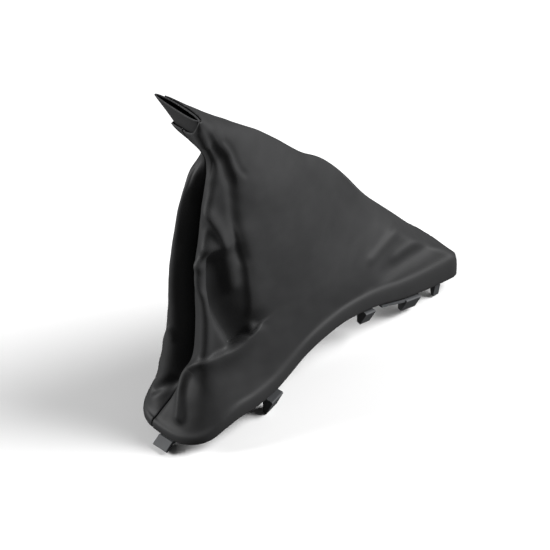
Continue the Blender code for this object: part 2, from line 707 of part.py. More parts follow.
def make_frame(material, collection, cutters):
    """Clip-in plastic frame: ring, snap clips, pegs, rails and tongue in one moulding."""
    frame = new_object("frame", sheet_mesh("frame", ring_rows(), True, False), material,
                       collection)
    thicken(frame, RING_WALL)
    additions = []
    for side, hand in ((1.0, "near"), (-1.0, "far")):
        for label, station, width, depth, ledge in (
                ("front_clip", FRONT_CLIP_STATION, FRONT_CLIP_WIDTH, FRONT_CLIP_DEPTH,
                 FRONT_LEDGE_DROP),
                ("middle_clip", MIDDLE_CLIP_STATION, MIDDLE_CLIP_WIDTH, CLIP_DEPTH,
                 LEDGE_DROP),
                ("rear_clip", REAR_CLIP_STATION, REAR_CLIP_WIDTH, CLIP_DEPTH, LEDGE_DROP)):
            outline = clip_outline(depth, ledge, CLIP_THICKNESS)
            additions.append(moulded(f"{hand}_{label}", outline, width,
                                     side * arc_at_station(station), cutters))
        additions.append(moulded(f"{hand}_peg", peg_outline(), PEG_WIDTH,
                                 side * arc_at_station(PEG_STATION), cutters))
        rail_middle = 0.5 * (RAIL_START_STATION + RAIL_END_STATION - RAIL_OVERRUN)
        rail_length = RAIL_END_STATION - RAIL_START_STATION + RAIL_OVERRUN
        additions.append(moulded(f"{hand}_rail", rail_outline(), rail_length,
                                 side * arc_at_station(rail_middle), cutters))
        additions.append(moulded(f"{hand}_rail_rib", rib_outline(), RAIL_RIB_WIDTH,
                                 side * arc_at_station(RAIL_END_STATION - RAIL_RIB_FROM_END),
                                 cutters))
    additions.append(moulded("tongue", tongue_outline(), TONGUE_WIDTH, TONGUE_OFFSET,
                              cutters))
    for addition in additions:
        union = frame.modifiers.new(addition.name, "BOOLEAN")
        union.operation = "UNION"
        union.solver = "EXACT"
        union.object = addition
    return frame


def stand_tilt():
    """Nose-up angle at which the pegs and the tongue touch one level surface."""
    tip = tongue_outline()[4]
    tongue = Vector((RING_LENGTH + tip[0], hem_height(RING_LENGTH) + tip[1]))
    peg = Vector((PEG_STATION, hem_height(PEG_STATION) - PEG_DEPTH))
    return math.atan2(peg.y - tongue.y, tongue.x - peg.x)


def stand_on_origin(holder, items):
    """Set the gaiter down with the middle of its underside at the origin."""
    bpy.context.view_layer.update()
    seen = bpy.context.evaluated_depsgraph_get()
    corners = []
    for item in items:
        shown = item.evaluated_get(seen)
        mesh = shown.to_mesh()
        corners += [shown.matrix_world @ vertex.co for vertex in mesh.vertices]
        shown.to_mesh_clear()
    for axis in range(3):
        values = [corner[axis] for corner in corners]
        middle = min(values) if axis == 2 else 0.5 * (min(values) + max(values))
        holder.location[axis] -= middle


def build():
    for item in list(bpy.data.objects):
        bpy.data.objects.remove(item, do_unlink=True)
    gaiter = bpy.data.collections.new("handbrake_gaiter")
    cutters = bpy.data.collections.new("gaiter_cutters")
    bpy.context.scene.collection.children.link(gaiter)
    bpy.context.scene.collection.children.link(cutters)

    frame_plastic = plain_material("frame_plastic", (0.075, 0.078, 0.082), 0.45)
    leather = plain_material("leather_black", (0.022, 0.022, 0.023), 0.50)
    lining = plain_material("sleeve_leather", (0.026, 0.026, 0.027), 0.55)

    items = [
        make_frame(frame_plastic, gaiter, cutters),
        make_panel("right_panel", 1.0, leather, gaiter),
        make_panel("left_panel", -1.0, leather, gaiter),
        make_sleeve(lining, gaiter),
    ]
    holder = bpy.data.objects.new("gaiter_stand", None)
    gaiter.objects.link(holder)
    for item in items + list(cutters.objects):
        item.parent = holder
    holder.rotation_euler.y = stand_tilt()
    stand_on_origin(holder, items)
    bpy.context.view_layer.update()


build()
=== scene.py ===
"""Looks of the handbrake gaiter: leather boot, neck sleeve, plastic frame and studio."""
import math
from collections import namedtuple

import bpy
import numpy as np
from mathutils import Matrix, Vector, noise


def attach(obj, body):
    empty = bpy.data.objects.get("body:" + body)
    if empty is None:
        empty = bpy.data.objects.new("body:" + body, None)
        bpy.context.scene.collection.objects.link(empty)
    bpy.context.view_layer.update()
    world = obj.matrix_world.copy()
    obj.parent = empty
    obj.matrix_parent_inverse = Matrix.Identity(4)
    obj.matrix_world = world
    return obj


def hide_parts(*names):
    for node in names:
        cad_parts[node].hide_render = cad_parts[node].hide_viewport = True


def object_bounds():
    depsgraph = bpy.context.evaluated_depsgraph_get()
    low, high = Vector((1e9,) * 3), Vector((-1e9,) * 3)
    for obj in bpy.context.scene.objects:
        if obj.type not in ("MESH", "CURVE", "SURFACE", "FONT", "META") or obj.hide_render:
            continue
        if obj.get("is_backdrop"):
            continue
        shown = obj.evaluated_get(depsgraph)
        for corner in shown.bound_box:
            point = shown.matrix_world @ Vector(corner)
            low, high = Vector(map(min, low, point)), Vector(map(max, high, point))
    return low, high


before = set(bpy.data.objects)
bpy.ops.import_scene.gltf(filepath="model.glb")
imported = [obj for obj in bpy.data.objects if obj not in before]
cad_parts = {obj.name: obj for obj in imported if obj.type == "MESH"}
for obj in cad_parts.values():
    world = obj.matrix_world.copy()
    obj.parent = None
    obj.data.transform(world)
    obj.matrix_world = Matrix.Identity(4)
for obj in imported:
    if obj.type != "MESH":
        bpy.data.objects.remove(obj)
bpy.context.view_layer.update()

# --- Boot panels: two pieces of black artificial leather, cut flat, sewn together down the
# front and along the top, and folded under the plastic ring at the hem.

# grain of the leather, shared with the sleeve: fine pebbles with pores between them, over a
# faint cloud of darker and duller patches
grain = bpy.data.node_groups.new("leather grain", "ShaderNodeTree")
grain.interface.new_socket("Vector", in_out="INPUT", socket_type="NodeSocketVector")
grain.interface.new_socket("Color", in_out="OUTPUT", socket_type="NodeSocketColor")
grain.interface.new_socket("Roughness", in_out="OUTPUT", socket_type="NodeSocketFloat")
grain.interface.new_socket("Height", in_out="OUTPUT", socket_type="NodeSocketFloat")
entry = grain.nodes.new("NodeGroupInput")
leave = grain.nodes.new("NodeGroupOutput")
pebbles = grain.nodes.new("ShaderNodeTexVoronoi")
pebbles.feature = "SMOOTH_F1"
pebbles.inputs["Scale"].default_value = 1500.0
pebbles.inputs["Smoothness"].default_value = 0.6
pores = grain.nodes.new("ShaderNodeTexNoise")
pores.inputs["Scale"].default_value = 700.0
pores.inputs["Detail"].default_value = 3.0
clouds = grain.nodes.new("ShaderNodeTexNoise")
clouds.inputs["Scale"].default_value = 28.0
clouds.inputs["Detail"].default_value = 4.0
for texture in (pebbles, pores, clouds):
    grain.links.new(entry.outputs["Vector"], texture.inputs["Vector"])
height_mix = grain.nodes.new("ShaderNodeMath")
height_mix.operation = "MULTIPLY_ADD"
height_mix.inputs[1].default_value = 0.35
grain.links.new(pores.outputs["Fac"], height_mix.inputs[0])
grain.links.new(pebbles.outputs["Distance"], height_mix.inputs[2])
grain.links.new(height_mix.outputs[0], leave.inputs["Height"])
tone = grain.nodes.new("ShaderNodeValToRGB")
tone.color_ramp.elements[0].position = 0.3
tone.color_ramp.elements[0].color = (0.0290, 0.0292, 0.0300, 1.0)
tone.color_ramp.elements[1].position = 0.75
tone.color_ramp.elements[1].color = (0.0380, 0.0382, 0.0390, 1.0)
grain.links.new(clouds.outputs["Fac"], tone.inputs["Fac"])
grain.links.new(tone.outputs["Color"], leave.inputs["Color"])
shine = grain.nodes.new("ShaderNodeMapRange")
shine.inputs["From Min"].default_value = 0.3
shine.inputs["From Max"].default_value = 0.7
shine.inputs["To Min"].default_value = 0.52
shine.inputs["To Max"].default_value = 0.62
grain.links.new(clouds.outputs["Fac"], shine.inputs["Value"])
grain.links.new(shine.outputs["Result"], leave.inputs["Roughness"])


def leather_material(name, bump_strength):
    """Satin artificial leather with the shared grain."""
    material = bpy.data.materials.new(name)
    material.use_nodes = True
    nodes, links = material.node_tree.nodes, material.node_tree.links
    shader = nodes["Principled BSDF"]
    place = nodes.new("ShaderNodeTexCoord")
    skin = nodes.new("ShaderNodeGroup")
    skin.node_tree = grain
    bump = nodes.new("ShaderNodeBump")
    bump.inputs["Strength"].default_value = bump_strength
    bump.inputs["Distance"].default_value = 0.00012
    links.new(place.outputs["Object"], skin.inputs["Vector"])
    links.new(skin.outputs["Color"], shader.inputs["Base Color"])
    links.new(skin.outputs["Roughness"], shader.inputs["Roughness"])
    links.new(skin.outputs["Height"], bump.inputs["Height"])
    links.new(bump.outputs["Normal"], shader.inputs["Normal"])
    shader.inputs["Specular IOR Level"].default_value = 0.20
    return material


def cloth_material(name, dark, light):
    """Knitted backing cloth of the artificial leather, or its cut edge."""
    material = bpy.data.materials.new(name)
    material.use_nodes = True
    nodes, links = material.node_tree.nodes, material.node_tree.links
    shader = nodes["Principled BSDF"]
    place = nodes.new("ShaderNodeTexCoord")
    loops = nodes.new("ShaderNodeTexNoise")
    loops.inputs["Scale"].default_value = 900.0
    loops.inputs["Detail"].default_value = 3.0
    tone = nodes.new("ShaderNodeValToRGB")
    tone.color_ramp.elements[0].position = 0.35
    tone.color_ramp.elements[0].color = (*dark, 1.0)
    tone.color_ramp.elements[1].position = 0.68
    tone.color_ramp.elements[1].color = (*light, 1.0)
    bump = nodes.new("ShaderNodeBump")
    bump.inputs["Strength"].default_value = 0.5
    bump.inputs["Distance"].default_value = 0.0003
    links.new(place.outputs["Object"], loops.inputs["Vector"])
    links.new(loops.outputs["Fac"], tone.inputs["Fac"])
    links.new(tone.outputs["Color"], shader.inputs["Base Color"])
    links.new(loops.outputs["Fac"], bump.inputs["Height"])
    links.new(bump.outputs["Normal"], shader.inputs["Normal"])
    shader.inputs["Roughness"].default_value = 0.9
    return material


# shapes are in millimetres: station forward of the ring's rear end, width to the near side,
# height; placed() brings them to where the gaiter stands
STAND_TILT = math.radians(8.28728642)
STAND_AT = (122.22578, 0.0, 9.98120)
OUTLINE_NOSE = 38.0
OUTLINE_FRONT = 34.0
OUTLINE_REAR = 26.0
OUTLINE_CORNER = 4.6
RING_LENGTH = 237.0
HEM_STATIONS = np.array([0, 24, 50, 68, 90, 108, 137, 167, 186, 201, 213, 223, 238.0])
HEM_HEIGHTS = np.array([0, 0.2, 2.6, 6.1, 7.8, 7.0, -0.4, -15.6, -20.8, -22.8, -27.0, -32.6,
                        -37.5])
LEVEL_HEIGHTS = np.array([0.0, 0.20, 0.42, 0.63, 0.72, 0.79, 0.90, 1.0])
FRONT_SEAM = np.array([(213.5, 20), (211.5, 75), (204.8, 130), (201.6, 151), (200.3, 167.5),
                       (216.4, 191.5), (227.5, 215)])
RIDGE = np.array([(217, 20.5, 28), (215.5, 16.5, 85), (209.5, 13.5, 138), (205, 12.5, 153),
                  (200.0, 11.0, 169), (212, 18, 193.5), (222.5, 22, 216)])
TOP_SEAM = np.array([(48, 67), (88, 112), (131, 149.5), (151, 165), (168, 178.5),
                     (195, 198.5), (217.5, 216)])
NEAR_LOBES = (1.0, 0.5, 1.0, 1.0, 1.0, 0.0, 0.0)
FAR_LOBES = (8.0, 10.0, 10.0, 7.0, 1.0, 0.0, 0.0)
BELLIES = (12.6, 11.5, 8.0, 6.0, 4.5, 0.0, 0.0)
ROUNDNESS = (0.0, 0.0, 0.0, 0.18, 0.5, 1.0, 1.0)
NEAR_SETBACKS = (0.0, 0.0, 1.5, 2.0, 0.0, 0.0, 0.0)
FAR_SETBACKS = (0.0, 0.0, 0.0, 0.0, 5.0, 0.0, 0.0)
ROUNDINGS = (0.034, 0.038, 0.050, 0.075, 0.100, 0.0, 0.0)
COLLAR_LENGTH = math.dist(FRONT_SEAM[-1], FRONT_SEAM[-2])
RIM_REAR, RIM_MIDDLE, RIM_NOSE = 15.2, 10.4, 6.4
RIM_REAR_LIP, RIM_REAR_LIP_LENGTH = 1.2, 40.0
SEAM_GAP = 0.15
SEAM_TO_FAR_SIDE = 10.0
EDGE_CROWN = 3.6
FRONT_DROP, NEAR_DROP, FAR_DROP = 20.0, 1.2, 27.0


def ease(t):
    t = np.clip(t, 0.0, 1.0)
    return t * t * (3.0 - 2.0 * t)


def through(knots, values, t):
    """Smooth curve through values, one row of them for each knot, at every t."""
    i = np.clip(np.searchsorted(knots, t, side="left") - 1, 0, len(knots) - 2)
    low = np.maximum(np.arange(len(knots)) - 1, 0)
    high = np.minimum(np.arange(len(knots)) + 1, len(knots) - 1)
    shape = (-1,) + (1,) * (values.ndim - 1)
    slopes = (values[high] - values[low]) / (knots[high] - knots[low]).reshape(shape)
    span = knots[i + 1] - knots[i]
    u = (t - knots[i]) / span
    at, after = (i,), (i + 1,)
    if values.ndim == 3:
        each = np.arange(len(t))
        at, after = (i, each), (i + 1, each)
    if values.ndim > 1:
        span, u = span[:, None], u[:, None]
    a, b, p, q = values[at], values[after], slopes[at], slopes[after]
    u2, u3 = u * u, u * u * u
    return (a * (2 * u3 - 3 * u2 + 1) + p * span * (u3 - 2 * u2 + u)
            + b * (3 * u2 - 2 * u3) + q * span * (u3 - u2))


def half_outline():
    """Outline of half the plastic ring from nose to rear centre, with outward directions."""
    shoulder = RING_LENGTH - OUTLINE_NOSE
    turn = np.linspace(0.0, 0.5 * np.pi, 49)
    power = 2.0 / 2.95
    nose = np.stack((shoulder + OUTLINE_NOSE * np.maximum(np.cos(turn), 0.0) ** power,
                     OUTLINE_FRONT * np.sin(turn) ** power), 1)
    station = np.linspace(shoulder, OUTLINE_CORNER, 49)[1:]
    grown = ease((station - 68.0) / (shoulder - 68.0))
    side = np.stack((station, OUTLINE_REAR + (OUTLINE_FRONT - OUTLINE_REAR) * grown), 1)
    bend = np.linspace(0.0, 0.5 * np.pi, 9)[1:]
    corner = np.stack((OUTLINE_CORNER * (1.0 - np.sin(bend)),
                       OUTLINE_REAR - OUTLINE_CORNER * (1.0 - np.cos(bend))), 1)
    points = np.concatenate((nose, side, corner, [(0.0, 0.0)]))
    steps = np.diff(points, axis=0)
    lengths = np.concatenate(([0.0], np.cumsum(np.hypot(steps[:, 0], steps[:, 1]))))
    along = np.gradient(points, lengths, axis=0)
    along[0] = (0.0, 1.0)
    along[-1] = (0.0, -1.0)
    outward = np.stack((along[:, 1], -along[:, 0]), 1)
    outward /= np.linalg.norm(outward, axis=1)[:, None]
    return points, lengths, outward


outline, outline_lengths, outline_outward = half_outline()
HALF_LENGTH = outline_lengths[-1]
RIDGE_SHARE = 42.0 / HALF_LENGTH


def ring_points(arc, outward, above_hem):
    """Points at distances outward of the plastic ring and above the hem underside."""
    side = np.where(arc < 0.0, -1.0, 1.0)
    held = np.minimum(np.abs(arc), HALF_LENGTH)
    station = np.interp(held, outline_lengths, outline[:, 0])
    width = side * np.interp(held, outline_lengths, outline[:, 1])
    out_station = np.interp(held, outline_lengths, outline_outward[:, 0])
    out_width = side * np.interp(held, outline_lengths, outline_outward[:, 1])
    z = through(HEM_STATIONS, HEM_HEIGHTS, np.clip(station, 0.0, 238.0)) + above_hem
    return np.stack((station + out_station * outward, width + out_width * outward, z), 1)


def rim_height(arc):
    """Height of the covered rim above the underside of the hem."""
    station = np.interp(np.minimum(np.abs(arc), HALF_LENGTH), outline_lengths, outline[:, 0])
    nose = ease((station - (RING_LENGTH - OUTLINE_NOSE)) / OUTLINE_NOSE)
    body = RIM_REAR + (RIM_MIDDLE - RIM_REAR) * ease(station / (0.5 * RING_LENGTH))
    body += RIM_REAR_LIP * (1.0 - ease(station / RIM_REAR_LIP_LENGTH))
    return body + (RIM_NOSE - body) * nose


def rim_arc(share, side):
    """Arc on the ring under each share; the front seam lies a little to the far side."""
    seam = side * SEAM_GAP - SEAM_TO_FAR_SIDE
    return seam + (side * (HALF_LENGTH - SEAM_GAP) - seam) * share


def level_points(k, share, side):
    """Points of one level of the boot; share runs from the front seam to the top seam."""
    setback = NEAR_SETBACKS[k] if side > 0.0 else FAR_SETBACKS[k]
    ridge = RIDGE[k] - np.array((1.0, 0.5 if side > 0.0 else 0.1, 0.0)) * setback
    front = np.array((FRONT_SEAM[k][0], 0.0, FRONT_SEAM[k][1]))
    spine = np.array((TOP_SEAM[k][0], 0.0, TOP_SEAM[k][1]))
    lobe = NEAR_LOBES[k] if side > 0.0 else FAR_LOBES[k]
    ahead = share < RIDGE_SHARE
    u = np.clip(share / RIDGE_SHARE, 0.0, 1.0)
    w = np.clip((share - RIDGE_SHARE) / (1.0 - RIDGE_SHARE), 0.0, 1.0)
    point = np.where(ahead[:, None], front + (ridge - front) * u[:, None],
                     ridge + (spine - ridge) * w[:, None])
    point[:, 0] += np.where(ahead, lobe * np.sin(np.pi * u), 0.0)
    crown = BELLIES[k] * np.sin(np.pi * w)
    crown += EDGE_CROWN * ease(2.0 * w) * np.sqrt(np.maximum(0.0, 1.0 - w ** 6))
    point[:, 1] += np.where(ahead, 0.0, crown)
    quarter = 0.5 * np.pi * np.where(ahead, u, w)
    falls = np.maximum(np.cos(quarter), 0.0) ** 0.8
    rises = np.sin(quarter) ** 0.8
    oval = np.where(ahead[:, None], ridge + (front - ridge) * falls[:, None],
                    ridge + (spine - ridge) * rises[:, None])
    oval[:, 1] = ridge[1] * np.where(ahead, rises, falls)
    point += (oval - point) * ROUNDNESS[k]
    point[:, 1] = side * np.maximum(point[:, 1], SEAM_GAP)
    return point


def boot_form(share, height, side):
    """Points of the boot without its folds; height runs from the rim to the mouth."""
    arc = rim_arc(share, side)
    values = [ring_points(arc, -0.6, rim_height(arc) + 0.9)]
    for k in range(7):
        reach = np.minimum(ROUNDINGS[k], np.minimum(share, 1.0 - share))
        total = 0.0
        for step in range(-4, 5):
            total = total + level_points(k, share + reach * step / 4.0, side)
        values.append(total / 9.0)
    return through(LEVEL_HEIGHTS, np.array(values), height)


Fold = namedtuple("Fold", "side left right rise fade path sag", defaults=(0.0,))
FOLDS = [
    # deep pocket behind the sharp front ridge, steep beside the ridge
    Fold(1, 16, 4.5, -12.0, (10, 2.5),
         [(0.175, 0.500), (0.190, 0.443), (0.198, 0.387), (0.208, 0.331), (0.230, 0.275),
          (0.256, 0.222), (0.268, 0.184)], 0.55),
    Fold(-1, 12, 12, -6.0, 14,
         [(0.24, 0.70), (0.28, 0.56), (0.31, 0.44), (0.31, 0.33), (0.29, 0.22)]),
    # edge of the tight main panel
    Fold(1, 12, 2.5, 2.0, 12,
         [(0.342, 0.547), (0.353, 0.485), (0.363, 0.407), (0.356, 0.335), (0.348, 0.271),
          (0.335, 0.218)]),
    # sharp ridge arching over the pocket and running down the front to the rim
    Fold(1, 3.0, 4.0, 4.0, 7,
         [(0.142, 0.487), (0.108, 0.458), (0.114, 0.407), (0.145, 0.371), (0.155, 0.331),
          (0.150, 0.271), (0.138, 0.210), (0.105, 0.178), (0.045, 0.145), (0.045, 0.106),
          (0.060, 0.072), (0.072, 0.038), (0.070, 0.012)]),
    Fold(1, 2.5, 7.0, 2.0, 7,
         [(0.250, 0.470), (0.229, 0.493), (0.176, 0.497), (0.135, 0.480), (0.110, 0.440)]),
    Fold(-1, 5, 5, 1.5, 14,
         [(0.185, 0.47), (0.20, 0.38), (0.20, 0.29), (0.16, 0.20), (0.12, 0.13),
          (0.10, 0.06)]),
    # roll of the skirt under the pocket
    Fold(1, 9, 2.2, 4.0, 6,
         [(0.351, 0.218), (0.316, 0.192), (0.282, 0.176), (0.242, 0.172), (0.193, 0.178),
          (0.130, 0.178), (0.062, 0.150)]),
    Fold(-1, 6, 6, 3.0, 14,
         [(0.38, 0.20), (0.31, 0.16), (0.25, 0.15), (0.18, 0.15), (0.12, 0.13)]),
    # slack flap from the front seam down to the pocket, the dip and the crease under it
    Fold(1, 5, 2.5, 2.8, 10,
         [(0.05, 0.635), (0.14, 0.605), (0.212, 0.557), (0.259, 0.501), (0.28, 0.443),
          (0.288, 0.383), (0.286, 0.325)]),
    Fold(1, 4, 6, -1.5, 8, [(0.06, 0.60), (0.13, 0.565), (0.18, 0.53), (0.22, 0.50)]),
    Fold(1, 2, 2, 1.0, 8, [(0.229, 0.493), (0.252, 0.445), (0.266, 0.399), (0.272, 0.349)]),
    # groove down from the neck between two ridges, and the fine crease beside it
    Fold(1, 4.5, 3, -2.4, (36, 10),
         [(0.165, 0.94), (0.172, 0.90), (0.178, 0.872), (0.196, 0.81), (0.265, 0.752),
          (0.325, 0.687), (0.335, 0.623), (0.329, 0.573), (0.333, 0.517), (0.342, 0.449),
          (0.353, 0.391)]),
    Fold(1, 3.2, 6, 2.0, 10,
         [(0.076, 0.985), (0.09, 0.952), (0.103, 0.89), (0.115, 0.85)]),
    Fold(1, 7, 2.6, 1.5, 10,
         [(0.30, 0.965), (0.30, 0.92), (0.288, 0.848), (0.338, 0.774), (0.40, 0.713),
          (0.408, 0.639)]),
    Fold(1, 2.5, 1.5, -1.0, 8, [(0.39, 0.87), (0.413, 0.762), (0.522, 0.661)]),
    Fold(-1, 8, 8, 1.2, 14, [(0.60, 0.86), (0.50, 0.75), (0.55, 0.62)]),
    # folds fanning out at the rear end, and the groove above the rim there
    Fold(1, 4, 3, 1.5, 8, [(0.974, 0.124), (0.937, 0.13), (0.864, 0.128), (0.801, 0.122),
                              (0.76, 0.122)]),
    Fold(1, 4, 3, 1.2, 8, [(0.956, 0.048), (0.906, 0.076), (0.843, 0.08), (0.793, 0.072)]),
    Fold(-1, 7, 7, 1.6, 14, [(0.95, 0.13), (0.87, 0.11), (0.78, 0.10)]),
    Fold(1, 6, 6, -2.0, 14, [(0.72, 0.055), (0.80, 0.06), (0.88, 0.06), (0.97, 0.06)]),
    Fold(-1, 5.5, 5.5, -2.6, 14, [(0.74, 0.035), (0.82, 0.035), (0.90, 0.03),
                                     (0.96, 0.03)]),
    # dimple above the rim and a kink higher up, both beside the front seam
    Fold(-1, 3, 3, -3.0, 5, [(0.004, 0.12), (0.017, 0.10), (0.039, 0.074), (0.077, 0.024)]),
    Fold(-1, 3, 3, 1.5, 5, [(0.106, 0.255), (0.076, 0.23), (0.052, 0.206)]),
]
SPINE_HEIGHTS = np.array([0.0, 0.04, 0.08, 0.14, 0.20, 0.25, 0.29, 0.36, 0.45, 0.49, 0.55, 0.60,
                          0.66, 0.73, 0.78, 0.88, 1.0])
SPINE_LIFTS = np.array([1.0, 1.2, -0.3, -0.3, -0.9, -1.9, -1.6, 0.6, 2.3, 1.8, -0.6, -0.3, 1.2,
                        2.7, 1.6, 0.0, 0.6])


def fold_rise(fold, points, normals):
    """Height of one fold over points of the smooth form, sharper on either side as told."""
    knots = np.arange(len(fold.path), dtype=float)
    places = through(knots, np.array(fold.path, dtype=float),
                     np.linspace(0.0, knots[-1], 10 * (len(fold.path) - 1) + 1))
    line = boot_form(places[:, 0], places[:, 1], fold.side)
    steps = np.linalg.norm(np.diff(line, axis=0), axis=1)
    running = np.concatenate(([0.0], np.cumsum(steps)))
    best = np.full(len(points), 1e9)
    signed = np.zeros(len(points))
    reached = np.zeros(len(points))
    for a, b, start, length in zip(line, line[1:], running, steps):
        along = (b - a) / length
        t = np.clip((points - a) @ along, 0.0, length)
        offset = points - a - t[:, None] * along
        gap = np.linalg.norm(offset, axis=1)
        closer = gap < best
        hand = np.einsum("ij,ij->i", np.cross(along, offset), normals)
        best = np.where(closer, gap, best)
        signed = np.where(closer, hand, signed)
        reached = np.where(closer, start + t, reached)
    spread = np.where(signed > 0.0, fold.left, fold.right)
    fade_in, fade_out = fold.fade if isinstance(fold.fade, tuple) else (fold.fade, fold.fade)
    held = ease(reached / fade_in) * ease((running[-1] - reached) / fade_out)
    crest = 0.25
    soft = (np.sqrt(best * best + crest * crest) - crest) / spread
    return fold.rise * held * np.exp(-soft ** 2)


def top_of_panel(share, side):
    """Height at which the panel's top edge is cut, lowest at the front and the far ridge."""
    drop = FRONT_DROP + (NEAR_DROP - FRONT_DROP) * ease(share / RIDGE_SHARE)
    if side < 0.0:
        drop = FRONT_DROP + (FAR_DROP - FRONT_DROP) * ease(share / RIDGE_SHARE)
        drop += (NEAR_DROP - FAR_DROP) * ease((share - RIDGE_SHARE) / (0.5 - RIDGE_SHARE))
    return 1.0 - drop / COLLAR_LENGTH * (1.0 - LEVEL_HEIGHTS[-2])


def panel_shares():
    """Shares of the columns, dense beside the seams and over the folds at the front."""
    beside_seam = np.array([0.0, 0.001, 0.0022, 0.004, 0.0065, 0.010, 0.0145])
    front = np.linspace(0.0145, RIDGE_SHARE, 26)[1:]
    folded = np.linspace(RIDGE_SHARE, 0.40, 42)[1:]
    rest = np.linspace(0.40, 0.9855, 58)[1:]
    return np.concatenate((beside_seam, front, folded, rest, 1.0 - beside_seam[-2::-1]))


def outward_of(grid, side):
    """Outward direction at each point of a grid of rows and columns."""
    across = np.gradient(grid, axis=1)
    upward = np.gradient(grid, axis=0)
    normal = np.cross(across, upward) * side
    return normal / np.maximum(np.linalg.norm(normal, axis=2), 1e-9)[..., None]


def placed(points):
    """From station, near side and height to where the gaiter stands, in metres."""
    x, y, z = -points[..., 0], -points[..., 1], points[..., 2]
    turned = (x * math.cos(STAND_TILT) + z * math.sin(STAND_TILT) + STAND_AT[0],
              y + STAND_AT[1],
              -x * math.sin(STAND_TILT) + z * math.cos(STAND_TILT) + STAND_AT[2])
    return np.stack(turned, -1) * 0.001


def sheet_object(name, grid, looped, flipped):
    """Smooth quad sheet over a grid of points."""
    rows, columns = grid.shape[:2]
    index = np.arange(rows * columns).reshape(rows, columns)
    after = np.roll(index, -1, axis=1)
    quads = np.stack((index[:-1], after[:-1], after[1:], index[1:]), -1)
    if not looped:
        quads = quads[:, :-1]
    quads = quads.reshape(-1, 4)
    if flipped:
        quads = quads[:, ::-1]
    mesh = bpy.data.meshes.new(name)
    mesh.from_pydata(placed(grid).reshape(-1, 3).tolist(), [], quads.tolist())
    mesh.shade_smooth()
    item = bpy.data.objects.new(name, mesh)
    bpy.context.scene.collection.objects.link(item)
    return item


def thicken(item, thickness):
    """Give a sheet its thickness inwards; its cut edge and inner face get own materials."""
    wall = item.modifiers.new("Thickness", "SOLIDIFY")
    wall.thickness = thickness
    wall.offset = -1.0
    wall.use_quality_normals = True
    wall.material_offset = 1
    wall.material_offset_rim = 2


# each row of the hem: distance outward, lift, and share of the rim's height
HEM_PROFILE = (
    (-2.4, 0.0, 0.0), (-0.9, 0.0, 0.0), (0.3, 0.05, 0.0), (1.0, 0.25, 0.0), (1.5, 0.65, 0.0),
    (1.75, 1.2, 0.0), (1.85, 0.6, 0.18), (1.95, 0.2, 0.36), (2.0, -0.2, 0.54),
    (2.1, -0.5, 0.72), (2.4, -0.5, 0.88), (2.5, -0.4, 1.0), (2.3, 0.2, 1.0), (1.9, 0.6, 1.0),
    (1.4, 0.8, 1.0), (0.7, 0.9, 1.0), (0.0, 0.9, 1.0))


def hem_grid(shares, side):
    """Rows of the hem: in under the ring's wall, up its outer face and over its top."""
    arc = rim_arc(shares, side)
    rim = rim_height(arc)
    rows = [ring_points(arc, np.full(len(arc), outward), rim * up + lift)
            for outward, lift, up in HEM_PROFILE]
    return np.array(rows)


BOOT_ROWS = 176
ROWS_TOWARDS_RIM = 1.2
SMOOTHED_ROWS = (9, 40)
SMOOTHING_PASSES = 24
LEATHER_THICKNESS = 0.0012
UNEVENNESS = ((0.8, 0.035), (0.25, 0.11))
SEAM_HOLD = 3.5
SPINE_REACH = 14.0
VALLEY_DEPTH = 6.5
VALLEY_REACH = {1: 2.8, -1: 7.0}
SEAM_ROLL = 1.1
SEAM_ALLOWANCE = (0.8, 1.8, 2.8)
forms, normals_of, heights_of = {}, {}, {}
shares = panel_shares()
for side in (1, -1):
    steps_up = np.linspace(0.0, 1.0, BOOT_ROWS + 1)[:, None]
    heights = top_of_panel(shares, side) * steps_up ** ROWS_TOWARDS_RIM
    flat_shares = np.broadcast_to(shares, heights.shape).ravel()
    boot = boot_form(flat_shares, heights.ravel(), side).reshape(*heights.shape, 3)
    sheet = np.concatenate((hem_grid(shares, side), boot))
    low, high = SMOOTHED_ROWS
    for _ in range(SMOOTHING_PASSES):
        bend = sheet[low - 1:high - 1] - 2.0 * sheet[low:high] + sheet[low + 1:high + 1]
        sheet[low:high] += 0.25 * bend
    forms[side] = sheet
    normals_of[side] = outward_of(sheet, side)
    heights_of[side] = heights

